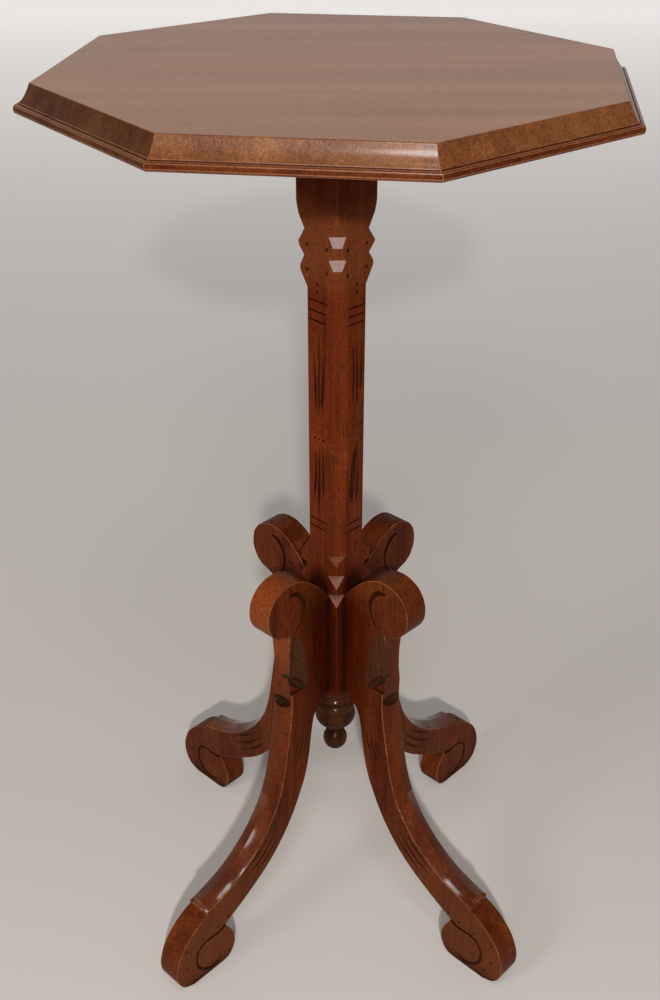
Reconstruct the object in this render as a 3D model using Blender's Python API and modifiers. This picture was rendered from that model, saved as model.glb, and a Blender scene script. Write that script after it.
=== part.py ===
# Candlestand: an octagonal moulded top on a square post whose corners are notched and
# chamfered, four sawn scroll legs doweled to the post's faces, and a turned drop below.
# Metres, +Z up, floor at zero, post axis on Z. The post's corners point along X and Y,
# so the legs stand on the diagonals.

import math

import bmesh
import bpy
from mathutils import Matrix, Vector

# Overall.
STAND_HEIGHT = 0.737
CLEARANCE = 0.0003
OVERRUN = 0.002

# Top board.
TOP_THICKNESS = 0.0185
TOP_WIDTH = 0.3902
TOP_EDGE_RUN = 0.0111
TOP_SIDES = 8
TOP_TURN = math.radians(-8.8)

# Edge moulding, from the level surface down to the underside. The first number is the
# way out over TOP_EDGE_RUN, the second the way down over TOP_THICKNESS.
top_edge_shares = (
    (0.00, 0.00), (0.48, 0.48), (0.57, 0.60), (0.67, 0.67), (0.76, 0.735),
    (0.87, 0.705), (0.98, 0.745), (1.00, 0.81), (0.96, 0.95), (0.86, 1.00),
)

# Cleat and its screws.
CLEAT_WIDTH = 0.120
CLEAT_THICKNESS = 0.020
CLEAT_CHAMFER = 0.004
SCREW_INSET = 0.018
SCREW_LENGTH = 0.030
SCREW_RADIUS = 0.0021
SCREW_HEAD_RADIUS = 0.0042
SCREW_HEAD_DEPTH = 0.0026
SCREW_STEPS = 16
SCREW_SLOT_WIDTH = 0.001
SCREW_SLOT_DEPTH = 0.001

# Post.
POST_SIDE = 0.0402
POST_FACET_DEPTH = 0.0075
TENON_SIDE = 0.025
WEDGE_DEPTH = 0.014
WEDGE_TOP_WIDTH = 0.0032
WEDGE_TIP_WIDTH = 0.0012

# Carved corners of the head, measured down from the post's shoulder.
HEAD_BLOCK_LENGTH = 0.049
HEAD_CARVING_LENGTH = 0.064
HEAD_NOTCH_DEPTH = 0.0064
# First number: the way down over HEAD_CARVING_LENGTH. Second: the depth of the cut at
# the corner over HEAD_NOTCH_DEPTH.
head_notch_shares = (
    (0.00, 0.00), (0.09, 0.09), (0.18, 0.27), (0.27, 0.64), (0.355, 1.00), (0.43, 0.64),
    (0.495, 0.22), (0.53, 0.27), (0.66, 1.00), (0.73, 0.66), (0.79, 0.38), (0.82, 0.41),
)

# Carved corners of the base, measured down from the end of the chamfered shaft, which
# is a little above the legs' crests.
BASE_OVER_LEGS = 0.0065
BASE_CARVING_LENGTH = 0.0467
BASE_NOTCH_DEPTH = 0.0069
base_notch_shares = (
    (0.00, 1.00), (0.14, 0.00), (0.30, 0.00), (0.36, 1.00), (0.40, 1.00), (0.62, 0.00),
    (0.70, 0.00), (0.76, 1.00), (0.80, 1.00), (1.00, 0.00),
)

# Legs.
LEG_THICKNESS = 0.022
LEG_TOE_RADIUS = 0.2055
LEG_RISE = 0.356
LEG_RIDGE = 0.0034
LEG_CURVE_STEPS = 3

# Side outline of a leg. The first number is the distance from the post's axis over
# LEG_TOE_RADIUS, the second the height over LEG_RISE; a third of 1 marks a sharp point.
leg_scroll_shares = (
    (0.131, 0.937, 0), (0.185, 0.969, 0), (0.243, 0.9915, 0), (0.302, 1.000, 0),
    (0.360, 0.993, 0), (0.406, 0.9705, 0), (0.426, 0.935, 0), (0.416, 0.900, 0),
    (0.380, 0.875, 0), (0.341, 0.8665, 0), (0.316, 0.862, 1), (0.313, 0.815, 0),
    (0.311, 0.758, 0), (0.311, 0.691, 1), (0.285, 0.678, 1),
)
leg_ridge_shares = (
    (0.309, 0.659, 1), (0.314, 0.6235, 0), (0.326, 0.576, 0), (0.341, 0.525, 0),
    (0.355, 0.4775, 0), (0.375, 0.430, 0), (0.406, 0.382, 0), (0.450, 0.340, 0),
    (0.506, 0.3005, 0), (0.574, 0.2655, 0), (0.650, 0.237, 0), (0.730, 0.218, 0),
    (0.793, 0.207, 0), (0.825, 0.204, 1),
)
leg_foot_shares = (
    (0.820, 0.195, 1), (0.866, 0.183, 0), (0.915, 0.163, 0), (0.959, 0.135, 0),
    (0.988, 0.101, 0), (1.000, 0.067, 0), (0.995, 0.034, 0), (0.976, 0.011, 0),
    (0.930, 0.000, 1), (0.754, 0.000, 1), (0.718, 0.005, 0), (0.691, 0.024, 0),
    (0.679, 0.051, 0), (0.689, 0.079, 0), (0.708, 0.1025, 0), (0.7275, 0.122, 1),
)
leg_inner_shares = (
    (0.652, 0.145, 0), (0.579, 0.170, 0), (0.513, 0.195, 0), (0.448, 0.225, 0),
    (0.377, 0.270, 0), (0.321, 0.317, 0), (0.277, 0.3665, 0), (0.241, 0.416, 0),
    (0.219, 0.466, 0), (0.205, 0.517, 0), (0.194, 0.559, 0), (0.178, 0.593, 0),
    (0.151, 0.615, 0), (0.1265, 0.625, 0),
)
# Height of the ridge where it starts at the notch, over LEG_RIDGE at the foot's step.
ridge_start_share = 0.25
# Foot and head of the flat joint against the post, over LEG_RISE.
leg_joint_shares = (0.6278, 0.9129)

# Shallow hollow down each side of the leg under the top scroll, and the chip cut
# across each outer corner at the hollow's foot.
HOLLOW_WIDTH = 0.019
HOLLOW_DEPTH = 0.002
CHIP_HEIGHT = 0.013
CHIP_ON_FACE = 0.010
CHIP_ON_SIDE = 0.016
# Heights over LEG_RISE.
hollow_foot_share = 0.7079
hollow_top_share = 0.8567
chip_level_share = 0.7135

# Leg dowels.
DOWEL_RADIUS = 0.004
DOWEL_LENGTH = 0.028
DOWEL_SINK = 0.013
DOWEL_SEGMENTS = 20
# Heights of the dowels up the joint between a leg and the post.
dowel_height_shares = (0.24, 0.76)

# Turned drop.
DROP_RING_RADIUS = 0.0177
DROP_BODY_LENGTH = 0.0575
DROP_BALL_RADIUS = 0.0106
DROP_NECK_RADIUS = 0.0044
DROP_TENON_RADIUS = 0.007
DROP_TENON_LENGTH = 0.012
DROP_STEPS = 36
DROP_BALL_STEPS = 12
# First number: radius over DROP_RING_RADIUS. Second: the way down over
# DROP_BODY_LENGTH.
drop_body_shares = (
    (0.86, 0.00), (0.86, 0.03), (0.75, 0.09), (0.69, 0.18), (0.72, 0.28), (0.80, 0.34),
    (0.92, 0.365), (0.95, 0.40), (0.93, 0.44), (0.86, 0.465), (0.86, 0.51),
    (0.94, 0.545), (0.99, 0.60), (1.00, 0.66), (0.98, 0.72), (0.90, 0.79),
    (0.76, 0.86), (0.58, 0.92), (0.40, 0.965),
)

# Finishes.
WALNUT = (0.115, 0.042, 0.018, 1.0)
WALNUT_POST = (0.125, 0.040, 0.017, 1.0)
WALNUT_TOP = (0.135, 0.055, 0.025, 1.0)
WALNUT_DROP = (0.070, 0.026, 0.013, 1.0)
PALE_WOOD = (0.330, 0.190, 0.090, 1.0)
STEEL = (0.300, 0.290, 0.280, 1.0)

# Derived places.
POST_FACE = POST_SIDE / 2
POST_BOTTOM = leg_joint_shares[0] * LEG_RISE
LEG_JOINT_TOP = leg_joint_shares[1] * LEG_RISE
BASE_SHOULDER = LEG_RISE + BASE_OVER_LEGS
POST_CORNER = POST_SIDE / math.sqrt(2)
SHOULDER_HEIGHT = STAND_HEIGHT - TOP_THICKNESS - CLEAT_THICKNESS - 2 * CLEARANCE
CLEAT_BOTTOM = SHOULDER_HEIGHT + CLEARANCE
CLEAT_TOP = CLEAT_BOTTOM + CLEAT_THICKNESS
LEG_ROOT = POST_FACE + CLEARANCE
LEG_NECK = leg_scroll_shares[-2][0] * LEG_TOE_RADIUS
HOLLOW_FOOT = hollow_foot_share * LEG_RISE
HOLLOW_TOP = hollow_top_share * LEG_RISE
CHIP_LEVEL = chip_level_share * LEG_RISE
DIAGONAL = math.radians(45)
LEG_AZIMUTHS = {
    "leg_front_right": math.radians(-45),
    "leg_rear_right": math.radians(45),
    "leg_rear_left": math.radians(135),
    "leg_front_left": math.radians(225),
}


def clear_scene():
    for old in list(bpy.data.objects):
        bpy.data.objects.remove(old, do_unlink=True)


def new_collection(name):
    collection = bpy.data.collections.new(name)
    bpy.context.scene.collection.children.link(collection)
    return collection


clear_scene()
PARTS = new_collection("candlestand")
CUTTERS = new_collection("candlestand_cutters")
ROOT = bpy.data.objects.new("candlestand_axis", None)
PARTS.objects.link(ROOT)


def make_material(name, colour, roughness, metallic=0.0):
    material = bpy.data.materials.new(name)
    material.use_nodes = True
    shader = material.node_tree.nodes["Principled BSDF"]
    shader.inputs["Base Color"].default_value = colour
    shader.inputs["Roughness"].default_value = roughness
    shader.inputs["Metallic"].default_value = metallic
    return material


def add_part(name, mesh, material, turn=0.0):
    part = bpy.data.objects.new(name, mesh)
    part.rotation_euler = (0, 0, turn)
    part.parent = ROOT
    mesh.materials.clear()
    mesh.materials.append(material)
    PARTS.objects.link(part)
    return part


def add_cutter(name, mesh, turn=0.0):
    cutter = bpy.data.objects.new(name, mesh)
    cutter.rotation_euler = (0, 0, turn)
    cutter.parent = ROOT
    cutter.hide_render = True
    cutter.display_type = "WIRE"
    CUTTERS.objects.link(cutter)
    return cutter


def cut(part, cutter, operation="DIFFERENCE"):
    modifier = part.modifiers.new(cutter.name, "BOOLEAN")
    modifier.operation = operation
    modifier.solver = "EXACT"
    modifier.object = cutter


def mesh_from(bm, name):
    mesh = bpy.data.meshes.new(name)
    bm.to_mesh(mesh)
    bm.free()
    return mesh


def smooth(mesh, angle=math.radians(30)):
    mesh.shade_smooth()
    mesh.set_sharp_from_angle(angle=angle)


def add_box(bm, size, centre, turn=0.0):
    place = Matrix.Translation(centre) @ Matrix.Rotation(turn, 4, "Z")
    bmesh.ops.create_cube(bm, size=1, matrix=place @ Matrix.Diagonal((*size, 1)))


def add_rod(bm, radius, low, high, segments):
    """Straight round rod between two points."""
    low = Vector(low)
    high = Vector(high)
    along = high - low
    turn = along.to_track_quat("Z", "Y").to_matrix().to_4x4()
    place = Matrix.Translation((low + high) / 2) @ turn
    bmesh.ops.create_cone(
        bm, cap_ends=True, segments=segments, radius1=radius, radius2=radius,
        depth=along.length, matrix=place,
    )


def turned_mesh(name, profile, steps):
    """Profile of (radius, height), top to bottom, turned about Z."""
    mesh = bpy.data.meshes.new(name)
    points = [(radius, 0, height) for radius, height in profile]
    edges = [(index, index + 1) for index in range(len(points) - 1)]
    mesh.from_pydata(points, edges, [])
    holder = bpy.data.objects.new(name, mesh)
    CUTTERS.objects.link(holder)
    screw = holder.modifiers.new("turn", "SCREW")
    screw.axis = "Z"
    screw.angle = math.tau
    screw.steps = steps
    screw.render_steps = steps
    screw.use_merge_vertices = True
    screw.merge_threshold = CLEARANCE / 30
    graph = bpy.context.evaluated_depsgraph_get()
    turned = bpy.data.meshes.new_from_object(holder.evaluated_get(graph))
    bpy.data.objects.remove(holder, do_unlink=True)
    turned.name = name
    return turned


def outline_bmesh(points, thickness, steps=1):
    """Flat shape with an upright outline of (x, z, sharp) points, even about Y."""
    curve = bpy.data.curves.new("outline", "CURVE")
    curve.dimensions = "2D"
    curve.fill_mode = "BOTH"
    curve.extrude = thickness / 2
    curve.resolution_u = steps
    spline = curve.splines.new("BEZIER")
    spline.bezier_points.add(len(points) - 1)
    spline.use_cyclic_u = True
    for knot, (x, z, sharp) in zip(spline.bezier_points, points):
        knot.co = (x, z, 0)
        knot.handle_left_type = "VECTOR" if sharp else "AUTO"
        knot.handle_right_type = "VECTOR" if sharp else "AUTO"
    holder = bpy.data.objects.new("outline", curve)
    CUTTERS.objects.link(holder)
    graph = bpy.context.evaluated_depsgraph_get()
    flat = bpy.data.meshes.new_from_object(holder.evaluated_get(graph))
    bpy.data.objects.remove(holder, do_unlink=True)
    bm = bmesh.new()
    bm.from_mesh(flat)
    bpy.data.meshes.remove(flat)
    bmesh.ops.remove_doubles(bm, verts=bm.verts, dist=CLEARANCE / 10)
    bmesh.ops.transform(bm, matrix=Matrix.Rotation(math.pi / 2, 4, "X"), verts=bm.verts)
    bmesh.ops.recalc_face_normals(bm, faces=bm.faces)
    return bm


# Screws.
def screw_places():
    """One screw toward each corner of the cleat, on the lines of the legs' gaps."""
    offset = (CLEAT_WIDTH / 2 - SCREW_INSET) * math.sqrt(2)
    return {
        "cleat_screw_front": (0, -offset), "cleat_screw_right": (offset, 0),
        "cleat_screw_rear": (0, offset), "cleat_screw_left": (-offset, 0),
    }


def screw_profile():
    neck = SCREW_LENGTH - SCREW_HEAD_DEPTH
    return (
        (0, SCREW_LENGTH), (SCREW_RADIUS, SCREW_LENGTH),
        (SCREW_RADIUS, SCREW_LENGTH - neck), (SCREW_HEAD_RADIUS, 0), (0, 0),
    )


def screw_hole_profile():
    tip = SCREW_LENGTH + CLEARANCE
    radius = SCREW_RADIUS + CLEARANCE
    head = SCREW_HEAD_RADIUS + CLEARANCE
    return (
        (0, tip), (radius, tip), (radius, SCREW_HEAD_DEPTH),
        (head, 0), (head, -OVERRUN), (0, -OVERRUN),
    )


def screw_holes():
    single = turned_mesh("screw_hole", screw_hole_profile(), SCREW_STEPS)
    bm = bmesh.new()
    for x, y in screw_places().values():
        place = Matrix.Translation((x, y, CLEAT_BOTTOM))
        single.transform(place)
        bm.from_mesh(single)
        single.transform(place.inverted())
    bpy.data.meshes.remove(single)
    return add_cutter("screw_holes", mesh_from(bm, "screw_holes"))


def build_screws():
    mesh = turned_mesh("cleat_screw", screw_profile(), SCREW_STEPS)
    smooth(mesh)
    material = make_material("steel", STEEL, 0.45, 1.0)
    size = (3 * SCREW_HEAD_RADIUS, SCREW_SLOT_WIDTH, 2 * SCREW_SLOT_DEPTH)
    for name, (x, y) in screw_places().items():
        screw = add_part(name, mesh, material)
        screw.location = (x, y, CLEAT_BOTTOM)
        bm = bmesh.new()
        add_box(bm, size, (x, y, CLEAT_BOTTOM), DIAGONAL)
        cut(screw, add_cutter(name + "_slot", mesh_from(bm, name + "_slot")))


# Top board.
def top_edge_profile():
    inner = TOP_WIDTH / 2 - TOP_EDGE_RUN
    to_corner = 1 / math.cos(math.pi / TOP_SIDES)
    edge = [
        ((inner + out * TOP_EDGE_RUN) * to_corner, STAND_HEIGHT - down * TOP_THICKNESS)
        for out, down in top_edge_shares
    ]
    return [(0, STAND_HEIGHT)] + edge + [(0, STAND_HEIGHT - TOP_THICKNESS)]


def build_top(holes):
    mesh = turned_mesh("top_board", top_edge_profile(), TOP_SIDES)
    material = make_material("walnut_top", WALNUT_TOP, 0.35)
    top = add_part("top_board", mesh, material, math.pi / TOP_SIDES + TOP_TURN)
    cut(top, holes)


# Cleat.
def build_cleat(holes):
    bm = bmesh.new()
    size = (CLEAT_WIDTH, CLEAT_WIDTH, CLEAT_THICKNESS)
    add_box(bm, size, (0, 0, CLEAT_BOTTOM + CLEAT_THICKNESS / 2))
    rim = [edge for edge in bm.edges if all(v.co.z < CLEAT_TOP - CLEARANCE for v in edge.verts)]
    bmesh.ops.bevel(
        bm, geom=rim, offset=CLEAT_CHAMFER, segments=1, affect="EDGES", clamp_overlap=True,
    )
    material = make_material("walnut_cleat", WALNUT, 0.6)
    cleat = add_part("cleat_block", mesh_from(bm, "cleat_block"), material, DIAGONAL)
    bm = bmesh.new()
    mortise = TENON_SIDE + 2 * CLEARANCE
    size = (mortise, mortise, CLEAT_THICKNESS + 2 * OVERRUN)
    add_box(bm, size, (0, 0, CLEAT_BOTTOM + CLEAT_THICKNESS / 2))
    cut(cleat, add_cutter("cleat_mortise", mesh_from(bm, "cleat_mortise"), DIAGONAL))
    cut(cleat, holes)


# Post.
def corner_profile():
    """Outline of what is cut from a corner: (distance from the axis, height, sharp)."""
    head_top = SHOULDER_HEIGHT - HEAD_BLOCK_LENGTH
    points = []
    for down, depth in head_notch_shares:
        height = head_top - down * HEAD_CARVING_LENGTH
        points.append((POST_CORNER - depth * HEAD_NOTCH_DEPTH, height, 1))
    points.append((POST_CORNER - POST_FACET_DEPTH, head_top - HEAD_CARVING_LENGTH, 1))
    points.append((POST_CORNER - POST_FACET_DEPTH, BASE_SHOULDER, 1))
    for down, depth in base_notch_shares:
        height = BASE_SHOULDER - down * BASE_CARVING_LENGTH
        points.append((POST_CORNER - depth * BASE_NOTCH_DEPTH, height, 1))
    bottom = BASE_SHOULDER - BASE_CARVING_LENGTH
    points.append((POST_CORNER + OVERRUN, bottom, 1))
    points.append((POST_CORNER + OVERRUN, head_top, 1))
    return points


def corner_cutter():
    """The same cut at all four corners. Full corners keep a sliver's distance."""
    profile = []
    for x, z, sharp in corner_profile():
        if x == POST_CORNER:
            x = POST_CORNER + CLEARANCE
        profile.append((x, z, sharp))
    width = 3 * POST_FACET_DEPTH
    single = mesh_from(outline_bmesh(profile, width), "post_corner")
    bm = bmesh.new()
    for _ in range(4):
        bm.from_mesh(single)
        single.transform(Matrix.Rotation(math.pi / 2, 4, "Z"))
    bpy.data.meshes.remove(single)
    return mesh_from(bm, "post_corners")


def wedge_outline(grow):
    top = CLEAT_TOP + (OVERRUN if grow else 0)
    bottom = CLEAT_TOP - WEDGE_DEPTH - grow
    return (
        (-WEDGE_TOP_WIDTH / 2 - grow, top, 1), (WEDGE_TOP_WIDTH / 2 + grow, top, 1),
        (WEDGE_TIP_WIDTH / 2 + grow, bottom, 1), (-WEDGE_TIP_WIDTH / 2 - grow, bottom, 1),
    )


def build_post(holes):
    bm = bmesh.new()
    height = SHOULDER_HEIGHT - POST_BOTTOM
    add_box(bm, (POST_SIDE, POST_SIDE, height), (0, 0, POST_BOTTOM + height / 2))
    material = make_material("walnut_post", WALNUT_POST, 0.38)
    post = add_part("post", mesh_from(bm, "post"), material, DIAGONAL)
    cut(post, add_cutter("post_corners", corner_cutter()))
    bm = bmesh.new()
    length = CLEAT_TOP - SHOULDER_HEIGHT + OVERRUN
    size = (TENON_SIDE, TENON_SIDE, length)
    add_box(bm, size, (0, 0, CLEAT_TOP - length / 2))
    tenon = add_cutter("post_tenon", mesh_from(bm, "post_tenon"), DIAGONAL)
    cut(post, tenon, "UNION")
    slot = mesh_from(outline_bmesh(wedge_outline(CLEARANCE), 2 * TENON_SIDE), "wedge_slot")
    cut(post, add_cutter("wedge_slot", slot, DIAGONAL))
    cut(post, holes)
    bm = bmesh.new()
    reach = DROP_TENON_LENGTH + 2 * CLEARANCE
    add_rod(
        bm, DROP_TENON_RADIUS + CLEARANCE, (0, 0, POST_BOTTOM - OVERRUN),
        (0, 0, POST_BOTTOM + reach), DROP_STEPS,
    )
    cut(post, add_cutter("drop_socket", mesh_from(bm, "drop_socket")))


def build_wedge():
    mesh = mesh_from(outline_bmesh(wedge_outline(0), TENON_SIDE), "tenon_wedge")
    add_part("tenon_wedge", mesh, make_material("wedge_wood", PALE_WOOD, 0.6), DIAGONAL)


# Dowels.
def dowel_heights():
    joint = LEG_JOINT_TOP - POST_BOTTOM
    return [POST_BOTTOM + share * joint for share in dowel_height_shares]


def dowel_mesh(name, grow):
    """One dowel along X, square across the joint of a leg that stands along X."""
    bm = bmesh.new()
    inner = POST_FACE - DOWEL_SINK - grow
    outer = POST_FACE - DOWEL_SINK + DOWEL_LENGTH + grow
    add_rod(bm, DOWEL_RADIUS + grow, (inner, 0, 0), (outer, 0, 0), DOWEL_SEGMENTS)
    return mesh_from(bm, name)


def dowel_holes():
    single = dowel_mesh("dowel_hole", CLEARANCE)
    bm = bmesh.new()
    for azimuth in LEG_AZIMUTHS.values():
        for height in dowel_heights():
            place = Matrix.Translation((0, 0, height)) @ Matrix.Rotation(azimuth, 4, "Z")
            single.transform(place)
            bm.from_mesh(single)
            single.transform(place.inverted())
    bpy.data.meshes.remove(single)
    return add_cutter("dowel_holes", mesh_from(bm, "dowel_holes"))


def build_dowels():
    mesh = dowel_mesh("leg_dowel", 0)
    smooth(mesh)
    material = make_material("dowel_wood", PALE_WOOD, 0.6)
    for leg, azimuth in LEG_AZIMUTHS.items():
        for level, height in zip(("lower", "upper"), dowel_heights()):
            name = leg.replace("leg", "dowel") + "_" + level
            add_part(name, mesh, material, azimuth).location = (0, 0, height)


# Legs.
def leg_outline():
    tables = leg_scroll_shares + leg_ridge_shares + leg_foot_shares + leg_inner_shares
    curve = [(x * LEG_TOE_RADIUS, z * LEG_RISE, sharp) for x, z, sharp in tables]
    return [(LEG_ROOT, LEG_JOINT_TOP, 1)] + curve + [(LEG_ROOT, POST_BOTTOM, 1)]


def raise_ridge(bm):
    """Ridge down the middle of the outer face, low at the notch, full at the foot's step."""
    start = leg_ridge_shares[0][1] * LEG_RISE + CLEARANCE
    end = leg_ridge_shares[-1][1] * LEG_RISE - CLEARANCE
    middle = (Vector((0, 0, 0)), Vector((0, 1, 0)))
    geometry = bm.verts[:] + bm.edges[:] + bm.faces[:]
    bmesh.ops.bisect_plane(bm, geom=geometry, plane_co=middle[0], plane_no=middle[1])
    bm.normal_update()
    moved = []
    for vert in bm.verts:
        outward = vert.normal.x + vert.normal.z
        if abs(vert.co.y) < CLEARANCE and end < vert.co.z < start and outward > 0:
            way = Vector((vert.normal.x, 0, vert.normal.z)).normalized()
            down = (start - vert.co.z) / (start - end)
            moved.append((vert, way * (ridge_start_share + (1 - ridge_start_share) * down)))
    for vert, way in moved:
        vert.co += way * LEG_RIDGE


def leg_mesh():
    bm = outline_bmesh(leg_outline(), LEG_THICKNESS, LEG_CURVE_STEPS)
    raise_ridge(bm)
    bmesh.ops.recalc_face_normals(bm, faces=bm.faces)
    mesh = mesh_from(bm, "scroll_leg")
    smooth(mesh)
    return mesh


def add_hollow(bm, side):
    """Long shallow scoop: half of a stretched ball, flat at its foot."""
    radius = (HOLLOW_WIDTH ** 2 / 4 + HOLLOW_DEPTH ** 2) / (2 * HOLLOW_DEPTH)
    length = HOLLOW_TOP - HOLLOW_FOOT
    half_height = length / math.sqrt(1 - (1 - HOLLOW_DEPTH / radius) ** 2)
    y = side * (LEG_THICKNESS / 2 + radius - HOLLOW_DEPTH)
    place = Matrix.Translation((LEG_NECK - HOLLOW_WIDTH / 2, y, HOLLOW_FOOT))
    stretch = Matrix.Diagonal((radius, radius, half_height, 1))
    ball = bmesh.new()
    bmesh.ops.create_uvsphere(ball, u_segments=96, v_segments=48, radius=1, matrix=place @ stretch)
    geometry = ball.verts[:] + ball.edges[:] + ball.faces[:]
    cut_plane = bmesh.ops.bisect_plane(
        ball, geom=geometry, plane_co=(0, 0, HOLLOW_FOOT), plane_no=(0, 0, -1), clear_outer=True,
    )
    rim = [item for item in cut_plane["geom_cut"] if isinstance(item, bmesh.types.BMEdge)]
    bmesh.ops.edgeloop_fill(ball, edges=rim)
    bmesh.ops.recalc_face_normals(ball, faces=ball.faces)
    scoop = mesh_from(ball, "scoop")
    bm.from_mesh(scoop)
    bpy.data.meshes.remove(scoop)


def add_chip(bm, side):
    """Triangular chip across an outer corner, deepest at the corner itself."""
    along = math.hypot(CHIP_ON_FACE, CHIP_ON_SIDE)
    depth = CHIP_ON_FACE * CHIP_ON_SIDE / along
    angle = math.atan2(side * CHIP_ON_FACE, -CHIP_ON_SIDE)
    place = Matrix.Translation((LEG_NECK, side * LEG_THICKNESS / 2, CHIP_LEVEL))
    turn = Matrix.Rotation(angle, 4, "Z") @ Matrix.Rotation(math.pi / 2, 4, "Y")
    stretch = Matrix.Diagonal((CHIP_HEIGHT / 2, depth, 2 * along, 1))
    bmesh.ops.create_cone(
        bm, cap_ends=True, segments=4, radius1=1, radius2=1, depth=1,
        matrix=place @ turn @ stretch,
    )


def leg_cutters():
    hollows = bmesh.new()
    chips = bmesh.new()
    for side in (-1, 1):
        add_hollow(hollows, side)
        add_chip(chips, side)
    return mesh_from(hollows, "leg_hollows"), mesh_from(chips, "leg_chips")


def build_legs(holes):
    material = make_material("walnut_legs", WALNUT, 0.38)
    shape = leg_mesh()
    hollows, chips = leg_cutters()
    for name, azimuth in LEG_AZIMUTHS.items():
        leg = add_part(name, shape, material, azimuth)
        cut(leg, add_cutter(name + "_hollows", hollows, azimuth))
        cut(leg, add_cutter(name + "_chips", chips, azimuth))
        cut(leg, holes)


# Drop.
def drop_profile():
    top = POST_BOTTOM - CLEARANCE
    tenon_top = top + DROP_TENON_LENGTH
    points = [(0, tenon_top), (DROP_TENON_RADIUS, tenon_top), (DROP_TENON_RADIUS, top)]
    for out, down in drop_body_shares:
        points.append((out * DROP_RING_RADIUS, top - down * DROP_BODY_LENGTH))
    neck = top - DROP_BODY_LENGTH
    points.append((DROP_NECK_RADIUS, neck))
    start = math.asin(DROP_NECK_RADIUS / DROP_BALL_RADIUS)
    centre = neck - DROP_BALL_RADIUS * math.cos(start)
    for step in range(1, DROP_BALL_STEPS):
        angle = start + (math.pi - start) * step / DROP_BALL_STEPS
        points.append((DROP_BALL_RADIUS * math.sin(angle), centre + DROP_BALL_RADIUS * math.cos(angle)))
    points.append((0, centre - DROP_BALL_RADIUS))
    return points


def build_drop():
    mesh = turned_mesh("turned_drop", drop_profile(), DROP_STEPS)
    smooth(mesh, math.radians(40))
    add_part("turned_drop", mesh, make_material("walnut_drop", WALNUT_DROP, 0.3))


def build():
    board_holes = screw_holes()
    joint_holes = dowel_holes()
    build_top(board_holes)
    build_cleat(board_holes)
    build_screws()
    build_post(joint_holes)
    build_wedge()
    build_legs(joint_holes)
    build_dowels()
    build_drop()


build()
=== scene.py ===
# %% [markdown]
# # A carved walnut candlestand
#
# A candlestand is a tall, light table for one lamp or one plant. This one has an
# octagonal top with a moulded edge, a square post with its corners notched and
# chamfered, four legs sawn from flat boards with a scroll at each end, and a small
# turned drop under the post. Everything is walnut under an old, warm varnish.
#
# The joiner's model is loaded as a fixed frame. The lesson then makes the pieces that
# show: it softens their edges, cuts the carver's marks into them, and gives each one
# its wood.

# %% Load the frame
import math

import bmesh
import bpy
from mathutils import Matrix, Vector


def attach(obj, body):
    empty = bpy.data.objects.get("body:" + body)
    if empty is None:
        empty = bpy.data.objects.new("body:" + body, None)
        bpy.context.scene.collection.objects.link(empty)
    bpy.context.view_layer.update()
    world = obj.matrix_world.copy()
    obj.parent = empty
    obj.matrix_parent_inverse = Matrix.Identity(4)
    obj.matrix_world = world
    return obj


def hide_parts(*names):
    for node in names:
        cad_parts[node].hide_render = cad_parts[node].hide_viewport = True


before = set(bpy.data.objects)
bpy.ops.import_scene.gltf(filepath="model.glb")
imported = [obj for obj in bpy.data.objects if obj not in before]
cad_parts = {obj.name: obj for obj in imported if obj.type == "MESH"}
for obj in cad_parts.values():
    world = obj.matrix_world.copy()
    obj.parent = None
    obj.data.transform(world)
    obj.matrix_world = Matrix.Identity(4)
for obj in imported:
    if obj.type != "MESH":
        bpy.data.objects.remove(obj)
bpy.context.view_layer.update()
MM = 0.001

# %% [markdown]
# ## The camera
#
# The photograph looks down on the stand from about a metre off the floor. The place and
# tilt were found from the octagon's corners, the post and the feet. The film is 36 mm on
# its long side, so the lens reads as on a full-frame camera.

# %% Camera
CAMERA_DIP = 0.5398
CAMERA_TURN = -0.0239
STAND_MIDDLE = Vector((0, 0, 0.4))
camera_data = bpy.data.cameras.new("photo_camera")
camera_data.sensor_width = 36
camera_data.lens = 44.81
camera = bpy.data.objects.new("photo_camera", camera_data)
bpy.context.scene.collection.objects.link(camera)
camera.location = (-0.0250, -0.8516, 0.9127)
camera.rotation_euler = (math.pi / 2 - CAMERA_DIP, 0, CAMERA_TURN)
bpy.context.scene.camera = camera
print("camera", round((camera.location - STAND_MIDDLE).length, 3), "m from the stand")

# %% [markdown]
# ## Tools for materials
#
# A material is a tree of nodes. Each helper makes one kind of node, joins it to what
# feeds it and hands back what it puts out, so that a tree reads like a sum.


# %% Tools for node trees
def dial(node, settings):
    """Set a node's unlinked inputs by their labels."""
    for label, value in settings.items():
        node.inputs[label].default_value = value


def new_group(name, ins, outs):
    group = bpy.data.node_groups.new(name, "ShaderNodeTree")
    for label, kind, value in ins:
        socket = group.interface.new_socket(label, in_out="INPUT", socket_type=kind)
        if value is not None:
            socket.default_value = value
    for label, kind in outs:
        group.interface.new_socket(label, in_out="OUTPUT", socket_type=kind)
    return group, group.nodes.new("NodeGroupInput"), group.nodes.new("NodeGroupOutput")


def feed(tree, source, target):
    if isinstance(source, (int, float, tuple)):
        target.default_value = source
    else:
        tree.links.new(source, target)


def math_node(tree, operation, a, b, clamp=False):
    node = tree.nodes.new("ShaderNodeMath")
    node.operation = operation
    node.use_clamp = clamp
    feed(tree, a, node.inputs[0])
    feed(tree, b, node.inputs[1])
    return node.outputs[0]


def noise_node(tree, vector, scale, detail, rough, distortion=0.0):
    node = tree.nodes.new("ShaderNodeTexNoise")
    feed(tree, vector, node.inputs["Vector"])
    feed(tree, scale, node.inputs["Scale"])
    dial(node, {"Detail": detail, "Roughness": rough, "Distortion": distortion})
    return node.outputs["Fac"]


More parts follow.
